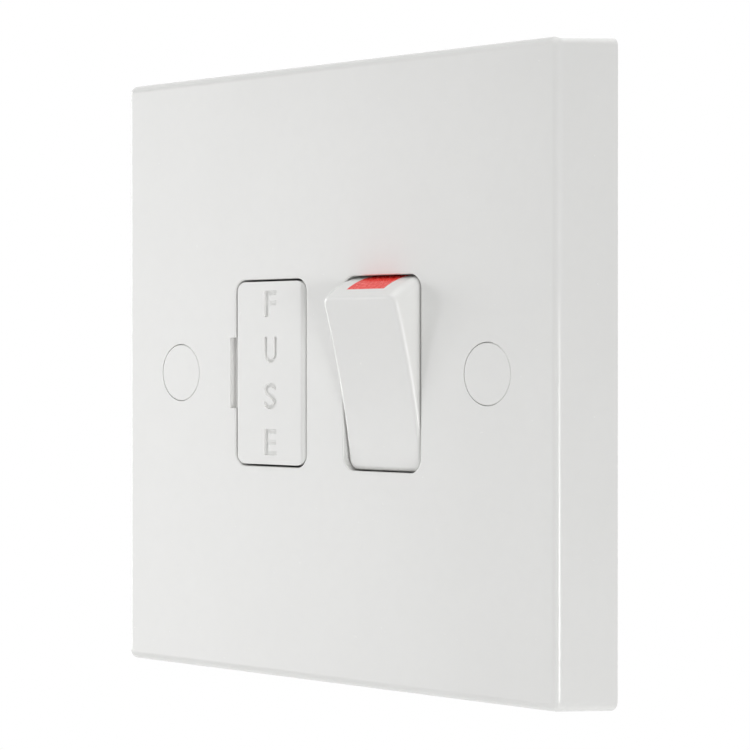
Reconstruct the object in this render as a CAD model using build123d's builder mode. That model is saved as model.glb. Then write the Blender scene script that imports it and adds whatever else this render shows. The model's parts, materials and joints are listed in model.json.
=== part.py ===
from build123d import *
import os
from math import asin, cos, degrees, hypot, radians, sin, sqrt

os.makedirs("parts", exist_ok=True)

# Switched fused connection unit on a single gang plate, in millimetres.
# X runs to the right and Z up as the face is looked at, and Y runs into the wall.
# The origin is the middle of the plate's rear rim, which lies on the wall at Y = 0.

# Front plate
plate_width = 86.0
plate_depth = 10.6
side_draft = 4.4
face_wall = 2.6
skirt_wall = 2.2
front_edge_radius = 1.1
plate_corner_radius = 1.3
opening_spacing = 21.9
opening_width = 14.7
opening_corner = 2.0
opening_edge_radius = 0.2
notch_width = 1.1
notch_height = 10.0
notch_depth = 0.9

# Fixing screws and their covers
fixing_spacing = 60.3
fixing_radius = 1.75
fixing_length = 16.0
fixing_neck_radius = 1.5
fixing_head_radius = 3.2
fixing_head_height = 2.2
fixing_head_edge = 1.1
fixing_hole_radius = 2.0
fixing_boss_radius = 5.5
fixing_thread_start = 0.5
cover_radius = 4.05
cover_clearance = 0.08
cover_wall = 1.1
cover_skirt = 0.7
cover_skirt_wall = 0.9
cover_bore_depth = 4.2
cover_edge_radius = 0.15

# Cartridge fuse
fuse_length = 25.4
fuse_radius = 3.175
fuse_end_gap = 0.35
fuse_depth = 7.6
fuse_cap_length = 6.0
fuse_cap_wall = 0.28
ceramic_clearance = 0.02

# Fuse carrier
carrier_gap = 0.28
carrier_end_gap = 0.3
carrier_face = 2.4
carrier_wall = 1.3
carrier_depth = 8.6
carrier_left_radius = 0.35
carrier_right_radius = 1.0
carrier_corner = 1.8
jaw_length = 11.0
jaw_wall = 1.5
jaw_clearance = 0.1
jaw_wrap = 1.2

# Rocker
pivot_depth = 4.0
rocker_tilt = 13.0
rocker_gap = 0.42
rocker_lift = 6.0
rocker_dish = 0.6
rocker_wall = 1.6
rocker_skirt = 2.0
rocker_edge_radius = 0.6
rocker_corner_radius = 1.3
trunnion_radius = 1.3
trunnion_length = 1.6
trunnion_clearance = 0.08
flash_width = 7.0
flash_thickness = 0.4
flash_low_angle = -5.0
flash_high_angle = 19.0
flash_clearance = 0.02
flash_slack = 0.1

# Plungers and springs
pole_spacing = 7.3
socket_radius = 2.2
socket_length = 7.0
socket_roof = 1.4
plunger_radius = 1.48
plunger_clearance = 0.07
plunger_top = 2.45
plunger_reach = 11.03
spigot_radius = 0.7
spigot_length = 1.5
spring_radius = 1.1
spring_wire = 0.2
spring_turns = 5
spring_gap = 0.45

# Rocking contacts
contact_drop = 11.6
contact_tilt = 7.0
contact_width = 3.6
contact_length = 18.6
contact_thickness = 1.0
contact_rib_radius = 0.9
contact_rib_clearance = 0.07
plunger_contact_gap = 0.06
rivet_offset = 7.5
rivet_head_radius = 1.2
rivet_rim = 0.35
rivet_dome = 0.25
rivet_shank_radius = 0.75
rivet_tail_radius = 1.1
rivet_tail = 0.3
rivet_clearance = 0.03
contact_gap = 0.05
contact_corner = 0.8
fixed_rivet_radius = 1.4

# Strips, saddles and fuse clips
strap_thickness = 1.0
strap_drop = 2.4
saddle_length = 3.2
saddle_clearance = 0.3
strap_margin = 0.4
strap_lap = 0.5
clip_thickness = 0.8
clip_length = 3.6
clip_clearance = 0.1
clip_inset = 0.9
clip_flare = 0.5
clip_bed = 0.425
clip_bend = 0.8
clip_leg_reach = 2.6
link_crossing_low = 6.2
link_crossing_high = 2.6

# Terminals
terminal_width = 6.5
terminal_length = 8.5
terminal_height = 8.0
terminal_front = 3.0
terminal_edge = 0.4
wire_bore_radius = 2.1
wire_bore_length = 7.5
wire_bore_cover = 1.1
terminal_pair_spacing = 9.0
terminal_pair_x = 11.5
earth_bridge = 1.6
clamp_radius = 1.7
clamp_clearance = 0.05
clamp_head_radius = 2.6
clamp_head_height = 1.75
clamp_lift = 0.35
clamp_stand_off = 0.3
clamp_neck_radius = 1.4
head_edge_radius = 0.4
slot_width = 0.8
slot_depth = 0.8

# Rear housing
housing_wall = 1.8
housing_side_wall = 2.7
housing_floor = 3.0
middle_floor = 1.8
bank_slope = 1.8
housing_corner = 2.0
housing_edge = 0.6
chamber_margin = 0.2
well_margin = 0.25
bank_wall = 1.1
pocket_clearance = 0.15
barrier_thickness = 1.2
barrier_set_back = 7.4
access_radius = 3.0
wire_hole_radius = 2.6
core_wall = 1.5
post_width = 4.0
post_gap = 0.1

# Screws that draw the housing to the plate
joint_screw_z = 19.5
joint_screw_radius = 1.45
joint_screw_clearance = 0.15
joint_screw_grip = 4.2
joint_neck_radius = 1.3
joint_neck_length = 3.0
joint_head_radius = 2.4
joint_head_height = 1.8
joint_head_clearance = 0.2
joint_head_y = 8.0
joint_boss_radius = 2.6
joint_boss_length = 5.0
joint_boss_clearance = 0.15
pilot_clearance = 0.05

# Places that follow from the sizes above
face_y = -plate_depth
inner_face_y = face_y + face_wall
fuse_x = -opening_spacing / 2
rocker_x = opening_spacing / 2
opening_height = fuse_length + 2 * fuse_end_gap
well_radius = hypot(opening_height / 2, pivot_depth)
rocker_radius = well_radius - rocker_gap
rocker_width = opening_width - 2 * rocker_gap
pivot_y = face_y + pivot_depth
fuse_y = face_y + fuse_depth
contact_y = pivot_y + contact_drop
live_x = rocker_x - pole_spacing / 2
neutral_x = rocker_x + pole_spacing / 2
strap_front_y = contact_y + strap_drop
strap_back_y = strap_front_y + strap_thickness
chamber_width = opening_width + 2 * chamber_margin
chamber_height = 2 * (well_radius + well_margin)
bank_start = chamber_height / 2 + bank_wall
bank_end = bank_start + terminal_length
terminal_z = (bank_start + bank_end) / 2
terminal_back_y = terminal_front + terminal_height
wire_bore_y = terminal_front + wire_bore_cover + wire_bore_radius
near_x = terminal_pair_x - terminal_pair_spacing / 2
far_x = terminal_pair_x + terminal_pair_spacing / 2
housing_width = 2 * (rocker_x + chamber_width / 2 + housing_side_wall)
housing_height = 2 * (bank_end + pocket_clearance + housing_wall)
housing_back_y = terminal_back_y + housing_floor
middle_back_y = strap_back_y + middle_floor
carrier_width = opening_width - 2 * carrier_gap
carrier_height = opening_height - 2 * carrier_end_gap
head_seat_y = face_y + cover_bore_depth
socket_end = rocker_lift - rocker_dish - socket_roof

# Each terminal is named by its place across the unit and its row, up or down
terminal_places = {
    "supply_live": (near_x, 1),
    "supply_neutral": (far_x, 1),
    "load_live": (fuse_x, -1),
    "load_neutral": (neutral_x, -1),
    "earth_left": (-far_x, 1),
    "earth_right": (-near_x, 1),
}


def wall_plane(y):
    """Plane parallel to the wall at depth y, with X across, Z up and its normal towards the room."""
    return Plane(origin=(0, y, 0), x_dir=(1, 0, 0), z_dir=(0, -1, 0))


def side_plane(x):
    """Plane across the unit at x, with depth Y along it, Z up and its normal towards +X."""
    return Plane(origin=(x, 0, 0), x_dir=(0, 1, 0), z_dir=(1, 0, 0))


def rocker_side(x):
    """Side plane of the tilted rocker on its pivot: along the face, then out of the face."""
    lean = radians(rocker_tilt)
    return Plane(origin=(x, pivot_y, 0), x_dir=(0, -sin(lean), cos(lean)), z_dir=(1, 0, 0))


def rocker_level(out):
    """Plane parallel to the rocker's face at a distance out of its pivot, with X across."""
    lean = radians(rocker_tilt)
    level = Plane(origin=(rocker_x, pivot_y, 0), x_dir=(1, 0, 0), z_dir=(0, -cos(lean), -sin(lean)))
    return level.offset(out)


def contact_side(x):
    """Side plane of a tilted rocking contact on its rib: along the arm, then towards the room."""
    lean = radians(contact_tilt)
    return Plane(origin=(x, contact_y, 0), x_dir=(0, sin(lean), cos(lean)), z_dir=(1, 0, 0))


def plane_axis(plane, along):
    """Axis through a side plane's point at a distance along it, in the plane's own Y direction."""
    return Axis(plane.from_local_coords((along, 0, 0)), plane.y_dir)


def finish(piece, name):
    """Label a finished piece and write it."""
    piece.part.label = name
    export_step(piece.part, f"parts/{name}.step")


# The well that the rocker swings in, a drum about the rocker's pivot
with BuildPart() as rocker_well:
    with BuildSketch(side_plane(rocker_x)):
        with Locations((pivot_y, 0)):
            Circle(well_radius)
    extrude(amount=opening_width / 2, both=True)
    fillet(rocker_well.edges().filter_by(GeomType.CIRCLE), radius=opening_corner)

# Front plate: a drafted square shell with its openings, bosses, posts and ribs
with BuildPart() as front_plate:
    with BuildSketch(wall_plane(0)):
        Rectangle(plate_width, plate_width)
    extrude(amount=plate_depth, taper=side_draft)
    fillet(front_plate.edges().group_by(Axis.Y)[1], radius=plate_corner_radius)
    fillet(front_plate.faces().sort_by(Axis.Y)[0].edges(), radius=front_edge_radius)
    with BuildSketch(wall_plane(0)):
        Rectangle(plate_width - 2 * skirt_wall, plate_width - 2 * skirt_wall)
    extrude(amount=plate_depth - face_wall, taper=side_draft, mode=Mode.SUBTRACT)
    # Bosses of the fixing screws, each with a web out to the skirt
    with BuildSketch(wall_plane(inner_face_y)):
        with GridLocations(fixing_spacing, 0, 2, 1):
            Circle(fixing_boss_radius)
    extrude(amount=inner_face_y + fixing_thread_start + post_gap)
    with BuildSketch(wall_plane(inner_face_y)):
        with GridLocations(plate_width - skirt_wall - fixing_boss_radius * 2, 0, 2, 1):
            Rectangle(fixing_boss_radius * 2, core_wall)
    extrude(amount=inner_face_y / 2)
    # Bosses of the screws that hold the housing
    with BuildSketch(wall_plane(inner_face_y)):
        with GridLocations(0, 2 * joint_screw_z, 1, 2):
            Circle(joint_boss_radius)
            Circle(joint_screw_radius + pilot_clearance, mode=Mode.SUBTRACT)
    extrude(amount=-joint_boss_length)
    # Posts that trap the terminals in their pockets
    with BuildSketch(wall_plane(inner_face_y)):
        with Locations(*[(x, row * terminal_z) for x, row in terminal_places.values()]):
            RectangleRounded(post_width, post_width, terminal_edge)
    extrude(amount=-(terminal_front - post_gap - inner_face_y))
    # Openings of the fuse carrier and the rocker
    with BuildSketch(wall_plane(inner_face_y)):
        with Locations((fuse_x, 0)):
            RectangleRounded(opening_width, opening_height, opening_corner)
    extrude(amount=face_wall, mode=Mode.SUBTRACT)
    add(rocker_well.part, mode=Mode.SUBTRACT)
    face_edges = front_plate.edges().group_by(Axis.Y)[0]
    opening_edges = face_edges.filter_by_position(Axis.X, -opening_spacing, opening_spacing)
    fillet(opening_edges.filter_by_position(Axis.Z, -well_radius, well_radius), radius=opening_edge_radius)
    # Notch beside the carrier, for the blade that prises it out
    with BuildSketch(wall_plane(face_y)):
        with Locations((fuse_x - opening_width / 2, 0)):
            Rectangle(2 * notch_width, notch_height)
    extrude(amount=-notch_depth, mode=Mode.SUBTRACT)
    # Counterbored holes of the fixing screws
    with Locations(wall_plane(face_y)):
        with GridLocations(fixing_spacing, 0, 2, 1):
            CounterBoreHole(
                radius=fixing_hole_radius,
                counter_bore_radius=cover_radius + cover_clearance,
                counter_bore_depth=cover_bore_depth,
            )
finish(front_plate, "front_plate")

# Rear housing: a shallow middle between two deeper banks of terminals
with BuildPart() as rear_housing:
    half_height = housing_height / 2
    with BuildSketch(side_plane(0)):
        with BuildLine():
            Polyline(
                (inner_face_y, -half_height),
                (housing_back_y, -half_height),
                (housing_back_y, -bank_start),
                (middle_back_y, -bank_start + bank_slope),
                (middle_back_y, bank_start - bank_slope),
                (housing_back_y, bank_start),
                (housing_back_y, half_height),
                (inner_face_y, half_height),
                close=True,
            )
        make_face()
    extrude(amount=housing_width / 2, both=True)
    fillet(rear_housing.edges().filter_by(Axis.Y), radius=housing_corner)
    chamfer(rear_housing.faces().filter_by(Axis.Y).group_by(Axis.Y)[-1].edges(), length=housing_edge)
    # Chambers of the switch and the fuse
    with BuildSketch(wall_plane(inner_face_y)):
        with Locations((rocker_x, 0), (fuse_x, 0)):
            RectangleRounded(chamber_width, chamber_height, housing_edge)
    extrude(amount=-(strap_back_y - inner_face_y), mode=Mode.SUBTRACT)
    # Pockets of the terminals, open to the front, and the one that the earth bar needs between its two
    pocket_width = terminal_width + 2 * pocket_clearance
    pocket_length = terminal_length + 2 * pocket_clearance
    with BuildSketch(wall_plane(inner_face_y)):
        with Locations(*[(x, row * terminal_z) for x, row in terminal_places.values()]):
            Rectangle(pocket_width, pocket_length)
        with Locations((-terminal_pair_x, terminal_z)):
            Rectangle(terminal_pair_spacing, pocket_length)
    extrude(amount=-(terminal_back_y - inner_face_y), mode=Mode.SUBTRACT)
    # Channels that let the straps through the chamber's end walls
    with BuildSketch(wall_plane(inner_face_y)):
        channel_width = contact_width + 2 * pocket_clearance
        for x, row in ((live_x, 1), (neutral_x, 1), (neutral_x, -1), (fuse_x, -1)):
            with Locations((x, row * bank_start)):
                Rectangle(channel_width, 4 * bank_wall)
        # and the live link through the wall between the chambers
        with Locations((0, -(link_crossing_low + link_crossing_high) / 2)):
            Rectangle(opening_spacing, link_crossing_low - link_crossing_high + 2 * pocket_clearance)
    extrude(amount=-(strap_back_y - inner_face_y), mode=Mode.SUBTRACT)
    # Cores that keep the middle wall thin
    middle_wall = opening_spacing - chamber_width
    core_end = chamber_height / 2 - core_wall
    upper_core_start = trunnion_radius + core_wall
    lower_core_start = link_crossing_low + core_wall
    with BuildSketch(wall_plane(inner_face_y)):
        with Locations((0, (upper_core_start + core_end) / 2)):
            RectangleRounded(middle_wall - 2 * core_wall, core_end - upper_core_start, housing_edge)
        with Locations((0, -(lower_core_start + core_end) / 2)):
            RectangleRounded(middle_wall - 2 * core_wall, core_end - lower_core_start, housing_edge)
    extrude(amount=-(strap_back_y - inner_face_y), mode=Mode.SUBTRACT)
    # Seats of the trunnions, open to the front, where the plate closes them
    seat_radius = trunnion_radius + trunnion_clearance
    with BuildSketch(side_plane(rocker_x)):
        with Locations((pivot_y, 0)):
            Circle(seat_radius)
        with Locations(((pivot_y + inner_face_y) / 2, 0)):
            Rectangle(pivot_y - inner_face_y, 2 * seat_radius)
    extrude(amount=rocker_width / 2 + trunnion_length + pocket_clearance, both=True, mode=Mode.SUBTRACT)
    # Barrier between the poles
    barrier_y = strap_back_y - barrier_set_back
    with BuildSketch(wall_plane(strap_back_y)):
        with Locations((rocker_x, 0)):
            Rectangle(barrier_thickness, chamber_height)
    extrude(amount=strap_back_y - barrier_y)
    # Recesses under the tails of the fixed rivets
    with BuildSketch(wall_plane(strap_back_y)):
        with Locations((live_x, rivet_offset), (neutral_x, rivet_offset)):
            Circle(fixed_rivet_radius)
    extrude(amount=-(rivet_tail + pocket_clearance), mode=Mode.SUBTRACT)
    # Wells of the bosses and screws that join housing and plate
    with Locations(wall_plane(inner_face_y)):
        with GridLocations(0, 2 * joint_screw_z, 1, 2):
            CounterBoreHole(
                radius=joint_screw_radius + joint_screw_clearance,
                counter_bore_radius=joint_boss_radius + joint_boss_clearance,
                counter_bore_depth=joint_boss_length + joint_boss_clearance,
            )
    with BuildSketch(wall_plane(housing_back_y)):
        with GridLocations(0, 2 * joint_screw_z, 1, 2):
            Circle(joint_head_radius + joint_head_clearance)
    extrude(amount=housing_back_y - joint_head_y, mode=Mode.SUBTRACT)
    # Holes to reach the clamping screws from behind
    with BuildSketch(wall_plane(housing_back_y)):
        with Locations(*[(x, row * terminal_z) for x, row in terminal_places.values()]):
            Circle(access_radius)
    extrude(amount=housing_floor, mode=Mode.SUBTRACT)
    # Holes for the wires in the end walls
    for row in (1, -1):
        with BuildSketch(Plane(origin=(0, 0, row * bank_end), x_dir=(1, 0, 0), z_dir=(0, 0, row))):
            with Locations(*[(x, row * wire_bore_y) for x, r in terminal_places.values() if r == row]):
                Circle(wire_hole_radius)
        extrude(amount=housing_wall + 2 * pocket_clearance, mode=Mode.SUBTRACT)
finish(rear_housing, "rear_housing")


def rocker_point(radius, angle):
    """Point on the rocker's side plane at a radius and an angle about the pivot."""
    return (radius * cos(radians(angle)), radius * sin(radians(angle)))


def rocker_outline(radius, lift, dish):
    """Outline of the rocker's side: dished face, two ends that turn about the pivot, open back."""
    half = sqrt(radius**2 - lift**2)
    foot = sqrt(radius**2 - rocker_skirt**2)
    middle = (degrees(asin(lift / radius)) - degrees(asin(rocker_skirt / radius))) / 2
    end_x, end_y = rocker_point(radius, middle)
    with BuildSketch(rocker_side(rocker_x)) as outline:
        with BuildLine():
            ThreePointArc((-half, lift), (0, lift - dish), (half, lift))
            ThreePointArc((half, lift), (end_x, end_y), (foot, -rocker_skirt))
            Line((foot, -rocker_skirt), (-foot, -rocker_skirt))
            ThreePointArc((-foot, -rocker_skirt), (-end_x, end_y), (-half, lift))
        make_face()
    return outline.sketch


def flash_outline(inner_radius, outer_radius, low, high):
    """Curved band on the rocker's top end, between two angles about the pivot."""
    middle = (low + high) / 2
    with BuildSketch(rocker_side(rocker_x)) as band:
        with BuildLine():
            ThreePointArc(*[rocker_point(outer_radius, angle) for angle in (low, middle, high)])
            Line(rocker_point(outer_radius, high), rocker_point(inner_radius, high))
            ThreePointArc(*[rocker_point(inner_radius, angle) for angle in (high, middle, low)])
            Line(rocker_point(inner_radius, low), rocker_point(outer_radius, low))
        make_face()
    return band.sketch


# Rocker: a shell with a dished face, trunnions on its flanks and two sockets behind
rocker_out = plane_axis(rocker_side(rocker_x), 0)
rocker_outside = rocker_outline(rocker_radius, rocker_lift, rocker_dish)
rocker_inside = rocker_outline(rocker_radius - rocker_wall, rocker_lift - rocker_wall, rocker_dish)
flash_band = flash_outline(rocker_radius - flash_thickness, rocker_radius, flash_low_angle, flash_high_angle)
flash_recess = flash_outline(
    rocker_radius - flash_thickness - flash_clearance,
    rocker_radius + flash_clearance,
    flash_low_angle - flash_slack,
    flash_high_angle + flash_slack,
)
with BuildPart() as rocker:
    extrude(rocker_outside, amount=rocker_width / 2, both=True)
    fillet(rocker.edges().group_by(rocker_out)[1], radius=rocker_corner_radius)
    fillet(rocker.faces().sort_by(rocker_out)[-1].edges(), radius=rocker_edge_radius)
    extrude(rocker_inside, amount=rocker_width / 2 - rocker_wall, both=True, mode=Mode.SUBTRACT)
    # Sockets that guide the plungers
    with BuildSketch(rocker_level(-socket_length)):
        with GridLocations(pole_spacing, 0, 2, 1):
            Circle(socket_radius)
    extrude(amount=socket_length + socket_end + socket_roof / 2)
    with BuildSketch(rocker_level(-socket_length)):
        with GridLocations(pole_spacing, 0, 2, 1):
            Circle(plunger_radius + plunger_clearance)
    extrude(amount=socket_length + socket_end, mode=Mode.SUBTRACT)
    # Trunnions
    for side in (1, -1):
        with BuildSketch(rocker_side(rocker_x + side * (rocker_width - rocker_wall) / 2)):
            Circle(trunnion_radius)
        extrude(amount=side * (trunnion_length + rocker_wall / 2))
    # Recess of the red flash
    extrude(flash_recess, amount=flash_width / 2 + flash_clearance, both=True, mode=Mode.SUBTRACT)
finish(rocker, "rocker")

with BuildPart() as rocker_flash:
    extrude(flash_band, amount=flash_width / 2, both=True)
finish(rocker_flash, "rocker_flash")

# Fuse carrier: a channel with its right edge well rounded, and a cradle whose jaws hold the fuse
with BuildPart() as fuse_carrier:
    left_x = fuse_x - carrier_width / 2
    right_x = fuse_x + carrier_width / 2
    carrier_back_y = face_y + carrier_depth
    jaw_root_y = face_y + carrier_face
    with BuildSketch(Plane.XY.offset(-carrier_height / 2)) as channel:
        with BuildLine():
            Polyline(
                (left_x, carrier_back_y),
                (left_x, face_y),
                (right_x, face_y),
                (right_x, carrier_back_y),
                (right_x - carrier_wall, carrier_back_y),
                (right_x - carrier_wall, jaw_root_y),
                (left_x + carrier_wall, jaw_root_y),
                (left_x + carrier_wall, carrier_back_y),
                close=True,
            )
        make_face()
        fillet(channel.vertices().group_by(Axis.Y)[0].sort_by(Axis.X)[0], radius=carrier_left_radius)
        fillet(channel.vertices().group_by(Axis.Y)[0].sort_by(Axis.X)[-1], radius=carrier_right_radius)
    extrude(amount=carrier_height)
    with BuildSketch(wall_plane(face_y)):
        with Locations((fuse_x, 0)):
            RectangleRounded(carrier_width, carrier_height, carrier_corner)
    extrude(amount=-carrier_depth, mode=Mode.INTERSECT)
    jaw_radius = fuse_radius - fuse_cap_wall + jaw_clearance
    jaw_tip_y = fuse_y + jaw_wrap
    with BuildSketch(Plane.XY.offset(-jaw_length / 2)):
        with Locations((fuse_x, (jaw_root_y + jaw_tip_y) / 2)):
            Rectangle(2 * (jaw_radius + jaw_wall), jaw_tip_y - jaw_root_y)
        with Locations((fuse_x, fuse_y)):
            Circle(jaw_radius, mode=Mode.SUBTRACT)
    extrude(amount=jaw_length)
finish(fuse_carrier, "fuse_carrier")

# Cartridge fuse: a ceramic body between two pressed end caps
with BuildPart() as fuse_body:
    with BuildSketch(Plane.XY.offset(fuse_cap_wall - fuse_length / 2)):
        with Locations((fuse_x, fuse_y)):
            Circle(fuse_radius - fuse_cap_wall - ceramic_clearance)
    extrude(amount=fuse_length - 2 * fuse_cap_wall)
finish(fuse_body, "fuse_body")

for row, name in ((1, "fuse_end_cap_upper"), (-1, "fuse_end_cap_lower")):
    cap_end = Plane(origin=(fuse_x, fuse_y, row * fuse_length / 2), z_dir=(0, 0, -row))
    with BuildPart() as fuse_end_cap:
        with BuildSketch(cap_end):
            Circle(fuse_radius)
        extrude(amount=fuse_cap_length)
        fillet(fuse_end_cap.edges().group_by(Axis.Z)[-1 if row > 0 else 0], radius=fuse_cap_wall)
        with BuildSketch(cap_end.offset(fuse_cap_wall)):
            Circle(fuse_radius - fuse_cap_wall)
        extrude(amount=fuse_cap_length, mode=Mode.SUBTRACT)
    finish(fuse_end_cap, name)


def screw(seat, head_radius, head_height, head_edge, neck_radius, neck_length, shank_radius, length):
    """Slotted screw on the plane that its head seats on, with the head on the plane's upper side."""
    section = Plane(origin=seat.origin, x_dir=seat.x_dir, z_dir=seat.x_dir.cross(seat.z_dir))
    rim_top = (head_radius - head_edge, head_height)
    rim_side = (head_radius, head_height - head_edge)
    with BuildPart() as fastener:
        with BuildSketch(section):
            with BuildLine():
                Line((0, head_height), rim_top)
                RadiusArc(rim_top, rim_side, head_edge)
                Polyline(
                    rim_side,
                    (head_radius, 0),
                    (neck_radius, 0),
                    (neck_radius, -neck_length),
                    (shank_radius, -neck_length),
                    (shank_radius, shank_radius / 2 - length),
                    (shank_radius / 2, -length),
                    (0, -length),
                    (0, head_height),
                )
            make_face()
        revolve(axis=Axis(seat.origin, seat.z_dir))
        with BuildSketch(seat.offset(head_height)):
            Rectangle(2 * head_radius, slot_width)
        extrude(amount=-slot_depth, mode=Mode.SUBTRACT)
    return fastener


# Fixing screws and the covers over their heads
for side, place in ((-1, "left"), (1, "right")):
    fixing_x = side * fixing_spacing / 2
    fixing_screw = screw(
        Plane(origin=(fixing_x, head_seat_y, 0), x_dir=(1, 0, 0), z_dir=(0, -1, 0)),
        fixing_head_radius,
        fixing_head_height,
        fixing_head_edge,
        fixing_neck_radius,
        -fixing_thread_start - head_seat_y,
        fixing_radius,
        fixing_length,
    )
    finish(fixing_screw, f"fixing_screw_{place}")

    with BuildPart() as screw_cover:
        with BuildSketch(wall_plane(face_y)):
            with Locations((fixing_x, 0)):
                Circle(cover_radius)
        extrude(amount=-cover_wall)
        fillet(screw_cover.edges().group_by(Axis.Y)[0], radius=cover_edge_radius)
        with BuildSketch(wall_plane(face_y + cover_wall)):
            with Locations((fixing_x, 0)):
                Circle(cover_radius)
                Circle(cover_radius - cover_skirt_wall, mode=Mode.SUBTRACT)
        extrude(amount=-cover_skirt)
    finish(screw_cover, f"screw_cover_{place}")

# Springs and plungers in the rocker's sockets
plunger_tip = plunger_reach - plunger_radius
spring_foot = plunger_top - spring_gap - spring_wire
spring_length = socket_end - spring_wire - flash_clearance + spring_foot
for x, pole in ((live_x, "live"), (neutral_x, "neutral")):
    socket_plane = rocker_side(x)
    with BuildPart() as plunger:
        with BuildSketch(socket_plane):
            with BuildLine():
                Polyline(
                    (0, -plunger_reach),
                    (0, spigot_length - plunger_top),
                    (spigot_radius, spigot_length - plunger_top),
                    (spigot_radius, -plunger_top),
                    (plunger_radius, -plunger_top),
                    (plunger_radius, -plunger_tip),
                )
                CenterArc((0, -plunger_tip), plunger_radius, -90, 90)
            make_face()
        revolve(axis=plane_axis(socket_plane, 0))
    finish(plunger, f"{pole}_plunger")

    with BuildPart() as spring:
        with BuildLine():
            coil = Helix(
                pitch=spring_length / spring_turns,
                height=spring_length,
                radius=spring_radius,
                center=socket_plane.from_local_coords((0, -spring_foot, 0)),
                direction=socket_plane.y_dir,
            )
        with BuildSketch(Plane(origin=coil @ 0, z_dir=coil % 0)):
            Circle(spring_wire)
        sweep(path=coil, is_frenet=True)
    finish(spring, f"{pole}_spring")

# The path of the plunger's tip over the rocking contact, which the contact's trough follows
lean = radians(rocker_tilt)
roll = radians(contact_tilt)
tip_z = plunger_tip * sin(lean)
tip_rise = contact_drop - plunger_tip * cos(lean)
end_rise = tip_z * sin(roll) + tip_rise * cos(roll)
end_run = tip_z * cos(roll) - tip_rise * sin(roll)
middle_rise = contact_drop - plunger_tip
path_radius = (end_run**2 + (end_rise - middle_rise) ** 2) / (2 * (end_rise - middle_rise))
trough_radius = path_radius + plunger_radius + plunger_contact_gap

# Where the dome of the moving rivet stands furthest back, and so where the fixed rivet meets it
dome_radius = (rivet_head_radius**2 + rivet_dome**2) / (2 * rivet_dome)
dome_centre = dome_radius - rivet_rim - rivet_dome
fixed_rivet_z = rivet_offset * cos(roll) + dome_centre * sin(roll)
dome_back_y = contact_y + rivet_offset * sin(roll) - dome_centre * cos(roll) + dome_radius
fixed_rivet_y = dome_back_y + contact_gap
rivet_hole_radius = rivet_shank_radius + rivet_clearance

for x, pole in ((live_x, "live"), (neutral_x, "neutral")):
    arm_plane = contact_side(x)
    arm_level = Plane(origin=arm_plane.origin, x_dir=(1, 0, 0), z_dir=arm_plane.y_dir)
    # Rocking contact: a strip on a half-round rib, with a trough that the plunger runs in
    with BuildPart() as rocking_contact:
        with BuildSketch(arm_level):
            RectangleRounded(contact_width, contact_length, contact_corner)
        extrude(amount=contact_thickness)
        with BuildSketch(arm_plane):
            Circle(contact_rib_radius)
        extrude(amount=contact_width / 2, both=True)
        with BuildSketch(arm_plane):
            with Locations((0, middle_rise + path_radius)):
                Circle(trough_radius)
        extrude(amount=contact_width / 2, both=True, mode=Mode.SUBTRACT)
        with BuildSketch(arm_level):
            with Locations((0, rivet_offset)):
                Circle(rivet_hole_radius)
        extrude(amount=contact_thickness, mode=Mode.SUBTRACT)
    finish(rocking_contact, f"{pole}_contact")

    # Moving rivet: domed head behind the arm, shank through it, flat tail in front
    with BuildPart() as moving_rivet:
        with BuildSketch(arm_plane):
            with BuildLine():
                Polyline(
                    (rivet_offset, -rivet_rim - rivet_dome),
                    (rivet_offset, contact_thickness + rivet_tail),
                    (rivet_offset + rivet_tail_radius, contact_thickness + rivet_tail),
                    (rivet_offset + rivet_tail_radius, contact_thickness),
                    (rivet_offset + rivet_shank_radius, contact_thickness),
                    (rivet_offset + rivet_shank_radius, 0),
                    (rivet_offset + rivet_head_radius, 0),
                    (rivet_offset + rivet_head_radius, -rivet_rim),
                )
                RadiusArc(
                    (rivet_offset + rivet_head_radius, -rivet_rim),
                    (rivet_offset, -rivet_rim - rivet_dome),
                    dome_radius,
                )
            make_face()
        revolve(axis=plane_axis(arm_plane, rivet_offset))
    finish(moving_rivet, f"{pole}_moving_rivet")

    # Fixed rivet: flat head in front of its strap, tail behind it
    with BuildPart() as fixed_rivet:
        for start, end, radius in (
            (fixed_rivet_y, strap_front_y, fixed_rivet_radius),
            (strap_front_y, strap_back_y, rivet_shank_radius),
            (strap_back_y, strap_back_y + rivet_tail, rivet_tail_radius),
        ):
            with BuildSketch(wall_plane(start)):
                with Locations((x, fixed_rivet_z)):
                    Circle(radius)
            extrude(amount=start - end)
    finish(fixed_rivet, f"{pole}_fixed_rivet")


def terminal_block(x, row):
    """Brass tunnel terminal in the upper (1) or lower (-1) row, with its wire bore and clamp thread."""
    with BuildPart() as block:
        with BuildSketch(wall_plane(terminal_back_y)):
            with Locations((x, row * terminal_z)):
                RectangleRounded(terminal_width, terminal_length, terminal_edge)
        extrude(amount=terminal_height)
        mouth = Plane(origin=(x, wire_bore_y, row * bank_end), x_dir=(1, 0, 0), z_dir=(0, 0, row))
        with BuildSketch(mouth):
            Circle(wire_bore_radius)
        extrude(amount=-wire_bore_length, mode=Mode.SUBTRACT)
        with BuildSketch(wall_plane(terminal_back_y)):
            with Locations((x, row * terminal_z)):
                Circle(clamp_radius + clamp_clearance)
        extrude(amount=terminal_back_y - wire_bore_y, mode=Mode.SUBTRACT)
    return block.part


def strap(x, row, start, end):
    """Flat strap on the chamber's floor from one height to another, in the upper or lower half."""
    with BuildPart() as strip:
        with BuildSketch(wall_plane(strap_back_y)):
            with Locations((x, row * (start + end) / 2)):
                Rectangle(contact_width, end - start)
        extrude(amount=strap_thickness)
    return strip.part


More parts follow.
